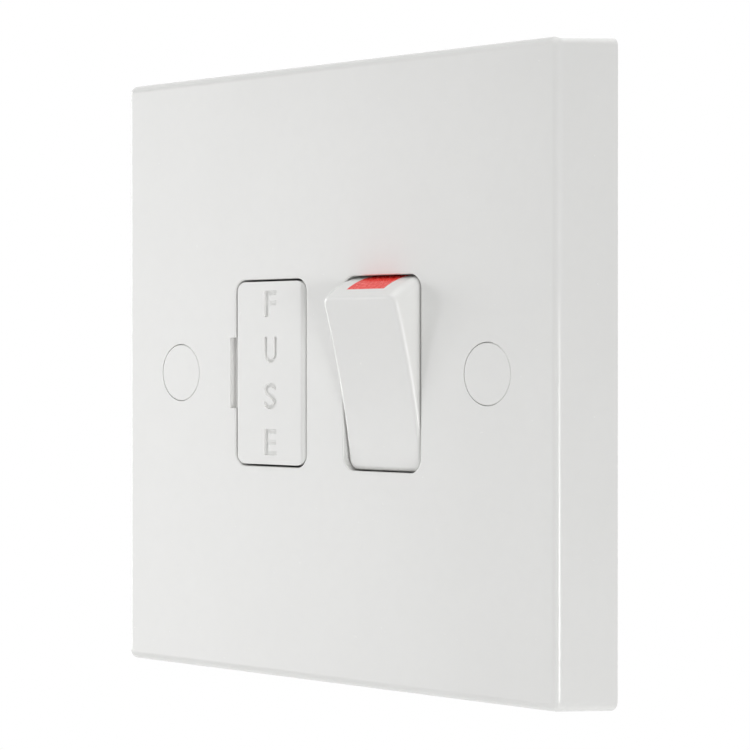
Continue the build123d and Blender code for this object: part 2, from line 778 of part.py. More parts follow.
def saddle(x):
    """Folded saddle that stands on a strap and carries the rib of a rocking contact."""
    with BuildPart() as cradle:
        with BuildSketch(side_plane(x)):
            with Locations(((contact_y + saddle_clearance + strap_front_y) / 2, 0)):
                Rectangle(strap_front_y - contact_y - saddle_clearance, saddle_length)
            with Locations((contact_y, 0)):
                Circle(contact_rib_radius + contact_rib_clearance, mode=Mode.SUBTRACT)
        extrude(amount=contact_width / 2, both=True)
    return cradle.part


def fuse_clip(row):
    """Spring clip around an end cap of the fuse, folded up from the end of its strap."""
    leg_x = fuse_radius + clip_clearance + clip_thickness / 2
    base_y = fuse_y + fuse_radius + clip_bed + clip_thickness / 2
    leg_y = fuse_y - clip_leg_reach
    clip_end = fuse_length / 2 - clip_inset
    with BuildPart() as clip:
        with BuildSketch(Plane.XY.offset(row * clip_end)):
            with BuildLine():
                FilletPolyline(
                    (fuse_x - leg_x - clip_flare, leg_y - 2 * clip_flare),
                    (fuse_x - leg_x, leg_y),
                    (fuse_x - leg_x, base_y),
                    (fuse_x + leg_x, base_y),
                    (fuse_x + leg_x, leg_y),
                    (fuse_x + leg_x + clip_flare, leg_y - 2 * clip_flare),
                    radius=clip_bend,
                )
            trace(line_width=clip_thickness)
        extrude(amount=-row * clip_length)
        riser_end = strap_back_y
        riser_start = base_y - clip_thickness / 2
        with BuildSketch(Plane.XY.offset(row * clip_end)):
            with Locations((fuse_x, (riser_start + riser_end) / 2)):
                Rectangle(contact_width, riser_end - riser_start)
        extrude(amount=row * strap_thickness)
    return clip.part


# Each terminal is cut from its block, with the strap, saddle or clip that the circuit needs
blocks = {name: terminal_block(x, row) for name, (x, row) in terminal_places.items()}
strap_end = bank_start + strap_lap
contact_strap_start = fixed_rivet_z - fixed_rivet_radius - strap_margin
clip_end = fuse_length / 2 - clip_inset

for x, pole in ((live_x, "live"), (neutral_x, "neutral")):
    contact_strap = strap(x, 1, contact_strap_start, strap_end)
    with BuildPart() as supply_terminal:
        add(blocks[f"supply_{pole}"])
        add(contact_strap)
        with BuildSketch(wall_plane(strap_back_y)):
            with Locations((x, fixed_rivet_z)):
                Circle(rivet_hole_radius)
        extrude(amount=strap_thickness, mode=Mode.SUBTRACT)
    finish(supply_terminal, f"supply_{pole}_terminal")

lower_clip = fuse_clip(-1)
lower_clip_strap = strap(fuse_x, -1, clip_end - clip_length, strap_end)
with BuildPart() as load_live_terminal:
    add(blocks["load_live"])
    add(lower_clip_strap)
    add(lower_clip)
finish(load_live_terminal, "load_live_terminal")

neutral_saddle = saddle(neutral_x)
neutral_strap = strap(neutral_x, -1, -saddle_length / 2, strap_end)
with BuildPart() as load_neutral_terminal:
    add(blocks["load_neutral"])
    add(neutral_strap)
    add(neutral_saddle)
finish(load_neutral_terminal, "load_neutral_terminal")

# Live link: from the saddle of the live contact, through the middle wall, up to the fuse's upper clip
live_saddle = saddle(live_x)
upper_clip = fuse_clip(1)
saddle_strap = strap(live_x, -1, -saddle_length / 2, link_crossing_low)
clip_strap = strap(fuse_x, 1, -link_crossing_low, clip_end + strap_thickness)
with BuildPart() as live_link:
    add(saddle_strap)
    add(clip_strap)
    with BuildSketch(wall_plane(strap_back_y)):
        with Locations(((live_x + fuse_x) / 2, -(link_crossing_low + link_crossing_high) / 2)):
            Rectangle(live_x - fuse_x, link_crossing_low - link_crossing_high)
    extrude(amount=strap_thickness)
    add(live_saddle)
    add(upper_clip)
finish(live_link, "live_link")

with BuildPart() as earth_bar:
    add(blocks["earth_left"])
    add(blocks["earth_right"])
    with BuildSketch(wall_plane(terminal_front)):
        with Locations((-terminal_pair_x, terminal_z)):
            Rectangle(terminal_pair_spacing - terminal_width / 2, terminal_length)
    extrude(amount=-earth_bridge)
finish(earth_bar, "earth_bar")

# Clamping screws, backed off so that their bores stand open
clamp_seat_y = terminal_back_y + clamp_lift
clamp_length = clamp_seat_y - wire_bore_y - wire_bore_radius - clamp_stand_off
screw_names = {
    "supply_live": "supply_live_screw",
    "supply_neutral": "supply_neutral_screw",
    "load_live": "load_live_screw",
    "load_neutral": "load_neutral_screw",
    "earth_left": "earth_screw_left",
    "earth_right": "earth_screw_right",
}
for terminal, (x, row) in terminal_places.items():
    clamp_screw = screw(
        Plane(origin=(x, clamp_seat_y, row * terminal_z), x_dir=(1, 0, 0), z_dir=(0, 1, 0)),
        clamp_head_radius,
        clamp_head_height,
        head_edge_radius,
        clamp_neck_radius,
        clamp_lift,
        clamp_radius,
        clamp_length,
    )
    finish(clamp_screw, screw_names[terminal])

# Screws that draw the housing to the plate, from behind
joint_screw_length = joint_head_y - inner_face_y - joint_boss_length + joint_screw_grip
for row, place in ((1, "upper"), (-1, "lower")):
    housing_screw = screw(
        Plane(origin=(0, joint_head_y, row * joint_screw_z), x_dir=(1, 0, 0), z_dir=(0, 1, 0)),
        joint_head_radius,
        joint_head_height,
        head_edge_radius,
        joint_neck_radius,
        joint_neck_length,
        joint_screw_radius,
        joint_screw_length,
    )
    finish(housing_screw, f"housing_screw_{place}")
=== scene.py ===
import json
from math import cos, pi, radians, sin

import bpy
from bpy.props import FloatProperty, FloatVectorProperty, IntProperty, PointerProperty
from mathutils import Matrix, Vector


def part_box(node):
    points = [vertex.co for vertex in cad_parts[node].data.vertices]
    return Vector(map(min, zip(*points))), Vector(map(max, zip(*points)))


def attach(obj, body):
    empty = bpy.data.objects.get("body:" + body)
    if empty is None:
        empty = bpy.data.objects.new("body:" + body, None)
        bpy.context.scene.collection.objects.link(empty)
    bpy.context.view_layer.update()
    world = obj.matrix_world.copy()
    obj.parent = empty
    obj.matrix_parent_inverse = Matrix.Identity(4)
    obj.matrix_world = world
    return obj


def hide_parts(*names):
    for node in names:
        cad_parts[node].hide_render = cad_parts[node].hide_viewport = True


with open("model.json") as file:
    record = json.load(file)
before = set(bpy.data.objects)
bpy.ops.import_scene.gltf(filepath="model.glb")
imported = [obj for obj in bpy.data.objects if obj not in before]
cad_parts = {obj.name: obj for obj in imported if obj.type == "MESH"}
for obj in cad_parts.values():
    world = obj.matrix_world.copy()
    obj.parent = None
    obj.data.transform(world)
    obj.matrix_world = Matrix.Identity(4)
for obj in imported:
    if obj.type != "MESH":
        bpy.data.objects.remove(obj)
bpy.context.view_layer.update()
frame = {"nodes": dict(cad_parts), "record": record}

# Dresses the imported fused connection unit: finishes, sunk letters, cut threads, stage and camera.
# Lengths are in metres. X runs to the right and Z up as the face is seen, and Y runs into the wall.

bl_info = {
    "name": "Fused connection unit",
    "version": (1, 0, 0),
    "blender": (4, 5, 0),
    "location": "View3D > Sidebar > Fused unit",
    "description": "Finishes, letters, screw threads and studio for a switched fused connection unit",
    "category": "Object",
}

MILLIMETRE = 0.001
SLOT_OF_NODE = {part["node"]: part["material_slot"] for part in frame["record"]["subparts"]}
MERGE_DISTANCE = 1e-6
SHANK_TOLERANCE = 0.02 * MILLIMETRE

# The word on the fuse carrier, and its strokes as shares of the type size, before each letter is fitted
WORD = "FUSE"
LETTER_CURVE_STEPS = 6
LETTER_STROKE_OFFSET = 0.002
LETTER_EXTRUSION = 0.045
LETTER_ROUNDING = 0.014
LETTER_ROUNDING_STEPS = 2

FRONT, BACK = Vector((0, -1, 0)), Vector((0, 1, 0))
RIGHT, UP = Vector((1, 0, 0)), Vector((0, 0, 1))
WHITE = (1.0, 1.0, 1.0, 1.0)
SENSOR_WIDTH = 36.0
FLOOR_SIDES = 96


def length(name, description, default):
    """A size in metres that a user can change."""
    return FloatProperty(
        name=name,
        description=description,
        default=default,
        min=0.0,
        precision=6,
        subtype="DISTANCE",
        unit="LENGTH",
    )


def angle(name, description, default):
    """An angle that is written in degrees and kept in radians."""
    return FloatProperty(
        name=name,
        description=description,
        default=radians(default),
        subtype="ANGLE",
        unit="ROTATION",
    )


def colour(name, description, default):
    """A linear colour that a user can change."""
    return FloatVectorProperty(
        name=name,
        description=description,
        default=default,
        size=3,
        min=0.0,
        max=1.0,
        subtype="COLOR",
    )


def strength(name, description, default):
    """The share of full white that a light adds to a white surface facing it."""
    return FloatProperty(
        name=name,
        description=description,
        default=default,
        min=0.0,
        subtype="FACTOR",
    )


class LetteringSettings(bpy.types.PropertyGroup):
    """Sizes of the letters sunk in the fuse carrier."""

    letter_height: length("Height", "Height of each letter", 3.65 * MILLIMETRE)
    letter_width: length("Width", "Width of each letter", 2.5 * MILLIMETRE)
    letter_pitch: length("Pitch", "From one letter's middle to the next one's", 6.43 * MILLIMETRE)
    letter_depth: length("Depth", "How deep the letters are sunk in the face", 0.34 * MILLIMETRE)


class ThreadSettings(bpy.types.PropertyGroup):
    """Sizes of the thread on the two fixing screws."""

    pitch: length("Pitch", "Advance of the thread in one turn", 0.6 * MILLIMETRE)
    depth: length("Depth", "Depth of the groove below the shank's surface", 0.34 * MILLIMETRE)
    groove_width: length("Groove width", "Width of the groove at the shank's surface", 0.5 * MILLIMETRE)
    run_in: length("Run-in", "Plain length between the neck and the thread", 0.4 * MILLIMETRE)
    steps: IntProperty(name="Steps", description="Faces in one turn of the thread", default=24, min=8)


class ColourSettings(bpy.types.PropertyGroup):
    """Colours of the finishes."""

    plate_white: colour("Plate", "Moulded plate, carrier and screw covers", (0.865, 0.865, 0.85))
    # The rocker's white is set lighter than the plate's as painted light, to make up for the light that its
    # downward-tilted face misses.
    rocker_white_painted_lighter: colour("Rocker", "Moulded rocker", (0.9, 0.9, 0.885))
    flash_red: colour("Flash", "Inlay that shows when the switch is on", (1.0, 0.055, 0.04))
    housing_white: colour("Housing", "Moulded rear housing", (0.74, 0.74, 0.72))
    nylon: colour("Nylon", "Plungers of the switch", (0.68, 0.64, 0.52))
    brass: colour("Brass", "Terminals, strips and clips", (0.78, 0.57, 0.27))
    copper: colour("Copper", "Rocking contacts", (0.78, 0.44, 0.28))
    silver: colour("Silver", "Contact rivets", (0.86, 0.85, 0.83))
    nickel: colour("Nickel", "End caps of the fuse", (0.72, 0.69, 0.63))
    zinc: colour("Zinc", "Plated screws and springs", (0.46, 0.465, 0.475))
    ceramic: colour("Ceramic", "Body of the fuse", (0.82, 0.79, 0.71))


class StudioSettings(bpy.types.PropertyGroup):
    """Camera, lamps and floor."""

    camera_distance: length("Camera distance", "Level distance to the origin", 355.57 * MILLIMETRE)
    camera_azimuth: angle("Camera azimuth", "Turn of the camera's place to the right", 45.238)
    view_azimuth: angle("View azimuth", "Turn of the line of sight", 45.346)
    view_pitch: angle("View pitch", "Fall of the line of sight", 0.297)
    camera_height: length("Camera height", "Height of the camera above the origin", 1.566 * MILLIMETRE)
    focal_length: FloatProperty(
        name="Focal length",
        description="Lens of the camera, in millimetres",
        default=122.62,
        subtype="DISTANCE_CAMERA",
    )
    fill: strength("Fill", "Light from all round", 0.19)
    key: strength("Key", "Soft light on the face from the left", 0.1)
    graze: strength("Graze", "Soft light that grazes the face from the far left", 0.055)
    side: strength("Side", "Soft light on the right side from in front", 0.3)
    top: strength("Top", "Soft light from above", 0.6)
    back: strength("Back", "Soft light on the housing from behind", 0.55)
    floor_drop: length("Floor drop", "From the middle of the plate down to the floor", 0.2)
    floor_radius: length("Floor radius", "Radius of the pale round floor", 0.5)


class UnitSettings(bpy.types.PropertyGroup):
    """All that a user would change on the fused connection unit."""

    lettering: PointerProperty(type=LetteringSettings, name="Lettering")
    thread: PointerProperty(type=ThreadSettings, name="Thread")
    colours: PointerProperty(type=ColourSettings, name="Colours")
    studio: PointerProperty(type=StudioSettings, name="Studio")


def settings():
    """The scene's settings of the unit."""
    return bpy.context.scene.fused_unit


# Shader maths


class Signal:
    """A node's output that takes part in Python arithmetic: each operator adds its Math node."""

    def __init__(self, nodes, socket):
        self.nodes = nodes
        self.socket = socket

    def _math(self, operation, first, second):
        operands = {"Value": first, "Value_001": second}
        return self.nodes.node("ShaderNodeMath", {"operation": operation}, operands)

    def __add__(self, other):
        return self._math("ADD", self, other)

    def __radd__(self, other):
        return self._math("ADD", other, self)

    def __sub__(self, other):
        return self._math("SUBTRACT", self, other)

    def __rsub__(self, other):
        return self._math("SUBTRACT", other, self)

    def __mul__(self, other):
        return self._math("MULTIPLY", self, other)

    def __rmul__(self, other):
        return self._math("MULTIPLY", other, self)

    def maximum(self, other):
        """The larger of two values."""
        return self._math("MAXIMUM", self, other)

    def rise(self, start, end):
        """0 below start and 1 above end, with a smooth step between them."""
        return self.nodes.node(
            "ShaderNodeMapRange",
            {"interpolation_type": "SMOOTHSTEP"},
            {"Value": self, "From Min": start, "From Max": end},
        )


class Nodes:
    """A node tree that is filled by Python expressions."""

    def __init__(self, tree):
        self.tree = tree

    def node(self, kind, options, inputs, output=None):
        """Adds a node with these options and inputs, and returns its first output or the one named."""
        made = self.tree.nodes.new(kind)
        for setting, value in options.items():
            setattr(made, setting, value)
        for name, value in inputs.items():
            self.feed(made, name, value)
        used = [socket for socket in made.outputs if socket.enabled]
        named = [socket for socket in used if output in (None, socket.identifier)]
        return Signal(self, named[0])

    def feed(self, node, identifier, value):
        """Links or sets one input of a node."""
        socket = next(socket for socket in node.inputs if socket.identifier == identifier)
        if isinstance(value, Signal):
            self.tree.links.new(value.socket, socket)
        else:
            socket.default_value = value

    def shown_behind(self):
        """1 for rays from the camera, from gloss and through clear pieces, and 0 for all other rays."""
        seen = self.node("ShaderNodeLightPath", {}, {}, "Is Camera Ray")
        for kind in ("Is Glossy Ray", "Is Transmission Ray"):
            seen = seen.maximum(self.node("ShaderNodeLightPath", {}, {}, kind))
        return seen

    def end_with(self, kind, factor, first, second):
        """Mixes two shaders by the factor and leads the mix to the tree's output node of this kind."""
        inputs = {"Fac": factor, "Shader": first, "Shader_001": second}
        mixed = self.node("ShaderNodeMixShader", {}, inputs)
        self.feed(self.tree.nodes[kind], "Surface", mixed)


class Finish(Nodes):
    """A new material with a Principled surface, and the patterns that its look is made of."""

    def __init__(self, name, constants):
        self.material = bpy.data.materials.new(name)
        self.material.use_nodes = True
        super().__init__(self.material.node_tree)
        self.surface = self.tree.nodes["Principled BSDF"]
        for socket, value in constants.items():
            self.surface.inputs[socket].default_value = value
        self.place = self.node("ShaderNodeTexCoord", {}, {}, "Object")

    def set(self, **inputs):
        """Feeds the surface shader, with the words of a socket's name joined by underscores."""
        for name, value in inputs.items():
            self.feed(self.surface, name.replace("_", " "), value)

    def mapped(self, stretch):
        """The place on the object with each axis stretched by its own factor."""
        return self.node("ShaderNodeMapping", {}, {"Vector": self.place, "Scale": stretch})

    def noise(self, grain, detail, stretch=(1.0, 1.0, 1.0)):
        """Soft noise from 0 to 1 whose grains are about this large."""
        inputs = {"Vector": self.mapped(stretch), "Scale": 1 / grain, "Detail": detail}
        return self.node("ShaderNodeTexNoise", {}, inputs)

    def cells(self, grain):
        """Distance to the middle of the nearest random cell, as a share of its size."""
        return self.node("ShaderNodeTexVoronoi", {}, {"Vector": self.place, "Scale": 1 / grain})

    def blend(self, factor, first, second):
        """A colour between two others."""
        inputs = {"Factor_Float": factor}
        for identifier, value in (("A_Color", first), ("B_Color", second)):
            inputs[identifier] = value if isinstance(value, Signal) else (*value, 1.0)
        return self.node("ShaderNodeMix", {"data_type": "RGBA"}, inputs, "Result_Color")

    def bump(self, height, distance):
        """Raises the surface by this distance where height is 1."""
        return self.node("ShaderNodeBump", {}, {"Height": height, "Distance": distance})


def scaled(base, factor):
    """A colour with all three parts multiplied."""
    return tuple(min(1.0, factor * part) for part in base)


def moulded(name, base, roughness, grain_height, shade, gloss=0.5):
    """Moulded plastic: faint flow clouds, a fine eroded grain from the mould and a slight waviness."""
    finish = Finish(name, {"IOR": 1.5, "Specular IOR Level": gloss})
    clouds = finish.noise(22 * MILLIMETRE, detail=2).rise(0.3, 0.7)
    grain = finish.noise(0.55 * MILLIMETRE, detail=3)
    waves = finish.noise(9 * MILLIMETRE, detail=1)
    speck = finish.noise(1.7 * MILLIMETRE, detail=2).rise(0.35, 0.75)
    tone = finish.blend(clouds, base, scaled(base, shade))
    finish.set(
        Base_Color=finish.blend(0.3 * speck, tone, scaled(base, 2 * shade - 1)),
        Roughness=roughness - 0.05 + 0.1 * grain,
        Normal=finish.bump(grain * grain_height + waves * (4 * grain_height), MILLIMETRE),
    )
    return finish.material


def filled_moulding(name, base):
    """Matt moulded thermoset: faint filler specks, a fine grain and duller patches from the mould."""
    finish = Finish(name, {"IOR": 1.52})
    specks = finish.cells(0.45 * MILLIMETRE).rise(0.1, 0.45)
    patches = finish.noise(7 * MILLIMETRE, detail=3).rise(0.35, 0.65)
    grain = finish.noise(0.3 * MILLIMETRE, detail=4)
    tone = finish.blend(patches, base, scaled(base, 0.975))
    finish.set(
        Base_Color=finish.blend(specks, scaled(base, 0.94), tone),
        Roughness=0.45 + 0.06 * patches,
        Normal=finish.bump(grain, 0.008 * MILLIMETRE),
    )
    return finish.material


def drawn_metal(name, base, dull, roughness, stretch):
    """Rolled, drawn or turned metal: lines along its lay, and duller patches of tarnish."""
    finish = Finish(name, {"Metallic": 1.0})
    lines = finish.noise(0.08 * MILLIMETRE, detail=3, stretch=stretch)
    patches = finish.noise(2.6 * MILLIMETRE, detail=4).rise(0.4, 0.72)
    spots = finish.cells(1.1 * MILLIMETRE).rise(0.05, 0.3)
    tarnish = patches * (1 - 0.5 * spots)
    clean = finish.blend(lines.rise(0.25, 0.75), scaled(base, 0.92), base)
    finish.set(
        Base_Color=finish.blend(0.7 * tarnish, clean, dull),
        Roughness=roughness + 0.12 * tarnish + 0.06 * lines,
        Normal=finish.bump(lines, 0.0025 * MILLIMETRE),
    )
    return finish.material


def plated_steel(name, base):
    """Bright zinc plate: fine grain with the faint blue and straw tints of its passivation."""
    finish = Finish(name, {"Metallic": 1.0})
    clouds = finish.noise(1.4 * MILLIMETRE, detail=3)
    grain = finish.noise(0.12 * MILLIMETRE, detail=3)
    blue = (base[0] * 0.93, base[1] * 0.98, min(1.0, base[2] * 1.07))
    straw = (min(1.0, base[0] * 1.05), base[1], base[2] * 0.86)
    tint = finish.blend(clouds.rise(0.38, 0.62), blue, straw)
    finish.set(
        Base_Color=finish.blend(0.5 * grain, tint, base),
        Roughness=0.3 + 0.14 * grain + 0.08 * clouds,
        Normal=finish.bump(grain, 0.004 * MILLIMETRE),
    )
    return finish.material


def fired_ceramic(name, base):
    """Unglazed ceramic: chalky grain with fine dark pores."""
    finish = Finish(name, {"IOR": 1.5})
    pores = 1 - finish.cells(0.5 * MILLIMETRE).rise(0.08, 0.2)
    grain = finish.noise(0.2 * MILLIMETRE, detail=4)
    stain = finish.noise(3 * MILLIMETRE, detail=3).rise(0.4, 0.7)
    tone = finish.blend(stain, base, scaled(base, 0.93))
    finish.set(
        Base_Color=finish.blend(0.35 * pores, tone, scaled(base, 0.6)),
        Roughness=0.55 + 0.15 * grain,
        Normal=finish.bump(grain - 0.8 * pores, 0.02 * MILLIMETRE),
    )
    return finish.material


def finish_of(slot):
    """The finish of a material slot, made the first time that a piece asks for it."""
    name = f"{slot}_finish"
    known = bpy.data.materials.get(name)
    if known:
        return known
    colours = settings().colours
    drawn_along_x = (0.05, 1.0, 1.0)
    drawn_along_y = (1.0, 0.05, 1.0)
    drawn_along_z = (1.0, 1.0, 0.05)
    makers = {
        "white_plastic": lambda: moulded(
            name, colours.plate_white, roughness=0.25, grain_height=0.003, shade=0.985
        ),
        # The rocker is the plate's moulded white made lighter: painted light on the rocker.
        "rocker_plastic": lambda: moulded(
            name, colours.rocker_white_painted_lighter, roughness=0.25, grain_height=0.0025, shade=0.985
        ),
        "red_plastic": lambda: moulded(
            name, colours.flash_red, roughness=0.27, grain_height=0.002, shade=0.97, gloss=0.4
        ),
        "plunger_plastic": lambda: moulded(
            name, colours.nylon, roughness=0.42, grain_height=0.003, shade=0.94
        ),
        "housing_plastic": lambda: filled_moulding(name, colours.housing_white),
        "ceramic": lambda: fired_ceramic(name, colours.ceramic),
        "brass": lambda: drawn_metal(
            name, colours.brass, dull=(0.46, 0.3, 0.13), roughness=0.24, stretch=drawn_along_y
        ),
        "copper": lambda: drawn_metal(
            name, colours.copper, dull=(0.42, 0.2, 0.12), roughness=0.26, stretch=drawn_along_z
        ),
        "silver": lambda: drawn_metal(
            name, colours.silver, dull=(0.55, 0.52, 0.47), roughness=0.22, stretch=drawn_along_x
        ),
        "nickel": lambda: drawn_metal(
            name, colours.nickel, dull=(0.5, 0.46, 0.4), roughness=0.18, stretch=drawn_along_x
        ),
        "steel": lambda: plated_steel(name, colours.zinc),
    }
    return makers[slot]()


# Modelling helpers


def select_only(*objects):
    """Selects these objects and nothing else, and makes the first one active."""
    bpy.ops.object.select_all(action="DESELECT")
    for each in objects:
        each.select_set(True)
    bpy.context.view_layer.objects.active = objects[0]


def dress(node):
    """Gives a CAD node the finish of its slot."""
    slot = SLOT_OF_NODE[node]
    mesh = frame["nodes"][node].data
    mesh.materials.clear()
    mesh.materials.append(finish_of(slot))


def copy_of_node(node, name):
    """A copy of a CAD node with its loose triangles merged, to be shaped further."""
    piece = bpy.data.objects.new(name, frame["nodes"][node].data.copy())
    bpy.context.collection.objects.link(piece)
    piece.data.materials.clear()
    piece.data.materials.append(finish_of(SLOT_OF_NODE[node]))
    select_only(piece)
    bpy.ops.mesh.customdata_custom_splitnormals_clear()
    bpy.ops.object.mode_set(mode="EDIT")
    bpy.ops.mesh.select_all(action="SELECT")
    bpy.ops.mesh.remove_doubles(threshold=MERGE_DISTANCE)
    bpy.ops.object.mode_set(mode="OBJECT")
    return piece


def cut(piece, cutter):
    """Takes the cutter's shape out of the piece and removes the cutter."""
    select_only(piece)
    bpy.ops.object.modifier_add(type="BOOLEAN")
    modifier = piece.modifiers[-1]
    modifier.operation = "DIFFERENCE"
    modifier.solver = "EXACT"
    modifier.object = cutter
    before = len(piece.data.polygons)
    bpy.ops.object.modifier_apply(modifier=modifier.name)
    if len(piece.data.polygons) <= before:
        raise RuntimeError(f"the cut in {piece.name} took nothing out")
    select_only(cutter)
    bpy.ops.object.delete()


def smooth(piece, limit):
    """Shades a piece smooth up to a limit between its faces, with large faces kept flat."""
    select_only(piece)
    bpy.ops.object.shade_smooth_by_angle(angle=limit)
    bpy.ops.object.modifier_add(type="WEIGHTED_NORMAL")
    modifier = piece.modifiers[-1]
    modifier.keep_sharp = True
    bpy.ops.object.modifier_apply(modifier=modifier.name)


def stand_in(piece, node, body):
    """Makes a finished piece stand for its CAD node on the node's body."""
    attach(piece, body)
    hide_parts(node)


# Pieces


def sunk_letter(letter, middle, sizes):
    """One letter as a solid that reaches from in front of the face to its sunk depth."""
    bpy.ops.object.select_all(action="DESELECT")
    bpy.ops.object.text_add()
    text = bpy.context.object
    text.data.body = letter
    text.data.align_x = "CENTER"
    text.data.resolution_u = LETTER_CURVE_STEPS
    text.data.offset = LETTER_STROKE_OFFSET
    text.data.extrude = LETTER_EXTRUSION
    text.data.bevel_depth = LETTER_ROUNDING
    text.data.bevel_resolution = LETTER_ROUNDING_STEPS
    select_only(text)
    bpy.ops.object.convert(target="MESH")
    solid = bpy.context.object
    low = Vector(map(min, *(vertex.co for vertex in solid.data.vertices)))
    high = Vector(map(max, *(vertex.co for vertex in solid.data.vertices)))
    solid.data.transform(Matrix.Translation(-(low + high) / 2))
    solid.scale = (
        sizes.letter_width / (high.x - low.x),
        sizes.letter_height / (high.y - low.y),
        2 * sizes.letter_depth / (high.z - low.z),
    )
    solid.rotation_euler = (radians(90), 0.0, 0.0)
    solid.location = middle
    bpy.ops.object.transform_apply()
    bpy.ops.object.mode_set(mode="EDIT")
    bpy.ops.mesh.select_all(action="SELECT")
    bpy.ops.mesh.remove_doubles(threshold=MERGE_DISTANCE)
    bpy.ops.object.mode_set(mode="OBJECT")
    return solid


class FUSED_UNIT_OT_fuse_carrier(bpy.types.Operator):
    """Copies the fuse carrier and sinks its word into the face"""

    bl_idname = "fused_unit.fuse_carrier"
    bl_label = "Fuse carrier"

    def execute(self, context):
        sizes = settings().lettering
        carrier = copy_of_node("fuse_carrier", "fuse_carrier_lettered")
        low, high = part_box("fuse_carrier")
        for place, letter in enumerate(WORD):
            drop = (place - (len(WORD) - 1) / 2) * sizes.letter_pitch
            middle = Vector(((low.x + high.x) / 2, low.y, (low.z + high.z) / 2 - drop))
            cut(carrier, sunk_letter(letter, middle, sizes))
        smooth(carrier, limit=radians(30))
        stand_in(carrier, "fuse_carrier", "fuse_carrier")
        return {"FINISHED"}


def thread_groove(axis_x, start, end, outer, sizes):
    """A coil of V section that cuts the thread of a screw on an axis along Y."""
    root = outer - sizes.depth
    lip = outer + sizes.depth
    half_width = sizes.groove_width / 2 * (lip - root) / (outer - root)
    bpy.ops.object.select_all(action="DESELECT")
    bpy.ops.mesh.primitive_circle_add(vertices=3, fill_type="NOTHING", location=(0.0, 0.0, 0.0))
    coil = bpy.context.object
    corners = ((root, 0.0), (lip, half_width), (lip, -half_width))
    for vertex, (radius, along) in zip(coil.data.vertices, corners):
        vertex.co = (radius, start + along, 0.0)
    bpy.ops.object.modifier_add(type="SCREW")
    modifier = coil.modifiers[-1]
    modifier.axis = "Y"
    modifier.screw_offset = sizes.pitch
    modifier.iterations = int((end - start) / sizes.pitch)
    modifier.steps = modifier.render_steps = sizes.steps
    bpy.ops.object.modifier_apply(modifier=modifier.name)
    coil.location.x = axis_x
    bpy.ops.object.transform_apply()
    bpy.ops.object.mode_set(mode="EDIT")
    bpy.ops.mesh.select_mode(type="EDGE")
    bpy.ops.mesh.select_all(action="DESELECT")
    bpy.ops.mesh.select_non_manifold()
    bpy.ops.mesh.edge_face_add()
    bpy.ops.mesh.select_all(action="SELECT")
    bpy.ops.mesh.normals_make_consistent(inside=False)
    bpy.ops.object.mode_set(mode="OBJECT")
    return coil


class FUSED_UNIT_OT_fixing_screws(bpy.types.Operator):
    """Copies the two fixing screws and cuts their threads"""

    bl_idname = "fused_unit.fixing_screws"
    bl_label = "Fixing screws"

    def execute(self, context):
        sizes = settings().thread
        mounts = {mount["name"]: mount for mount in frame["record"]["mounts"]}
        outer = mounts["fixing_screws"]["dims"]["stud_r_mm"] * MILLIMETRE
        for side in ("left", "right"):
            node = f"fixing_screw_{side}"
            screw = copy_of_node(node, f"{node}_threaded")
            low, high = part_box(node)
            middle_x, middle_z = (low.x + high.x) / 2, (low.z + high.z) / 2
            start = sizes.run_in + min(
                vertex.co.y
                for vertex in screw.data.vertices
                if self.on_shank(vertex.co.x - middle_x, vertex.co.z - middle_z, outer)
            )
            cut(screw, thread_groove(middle_x, start, high.y, outer, sizes))
            smooth(screw, limit=radians(35))
            stand_in(screw, node, "unit")
        return {"FINISHED"}

    @staticmethod
    def on_shank(x, z, outer):
        """True for a point on the cylinder of the thread's outer radius."""
        return abs(Vector((x, z)).length - outer) < SHANK_TOLERANCE


def is_moulded(slot):
    """True for the slots of the plastic mouldings and the ceramic body."""
    return slot.endswith("_plastic") or slot == "ceramic"


class FUSED_UNIT_OT_mouldings(bpy.types.Operator):
    """Gives the plastic mouldings and the ceramic body their finishes"""

    bl_idname = "fused_unit.mouldings"
    bl_label = "Mouldings"

    def execute(self, context):
        for node, slot in SLOT_OF_NODE.items():
            if is_moulded(slot):
                dress(node)
        return {"FINISHED"}


class FUSED_UNIT_OT_metalwork(bpy.types.Operator):
    """Gives the terminals, strips, contacts, caps, springs and screws their finishes"""

    bl_idname = "fused_unit.metalwork"
    bl_label = "Metalwork"

    def execute(self, context):
        for node, slot in SLOT_OF_NODE.items():
            if not is_moulded(slot):
                dress(node)
        return {"FINISHED"}


# Studio


def direction(azimuth, elevation):
    """Unit vector away from the origin; azimuth 0 is in front and grows to the right."""
    level = cos(elevation)
    return Vector((sin(azimuth) * level, -cos(azimuth) * level, sin(elevation)))


# Each soft lamp's azimuth and elevation in degrees, its distance and the side of its square. The last value
# is the normal of the white surface that gets the share of full white set for the lamp.
LAMPS = {
    "key": (-56, -1, 0.5, 0.26, FRONT),
    "graze": (-80, 4, 0.45, 0.28, FRONT),
    "side": (68, -8, 0.6, 0.16, RIGHT),
    "top": (-10, 70, 0.9, 1.0, UP),
    "back": (180, 35, 0.9, 1.2, BACK),
}


def soft_lamp(name, towards, distance, size, share):
    """Aims a square soft lamp at the origin, where a white surface facing it gets this share."""
    bpy.ops.object.select_all(action="DESELECT")
    bpy.ops.object.light_add(type="AREA", location=towards * distance)
    lamp = bpy.context.object
    lamp.name = name
    lamp.data.shape = "SQUARE"
    lamp.data.size = size
    lamp.data.energy = share * pi**2 * distance**2
    lamp.rotation_mode = "QUATERNION"
    lamp.rotation_quaternion = towards.to_track_quat("Z", "Y")


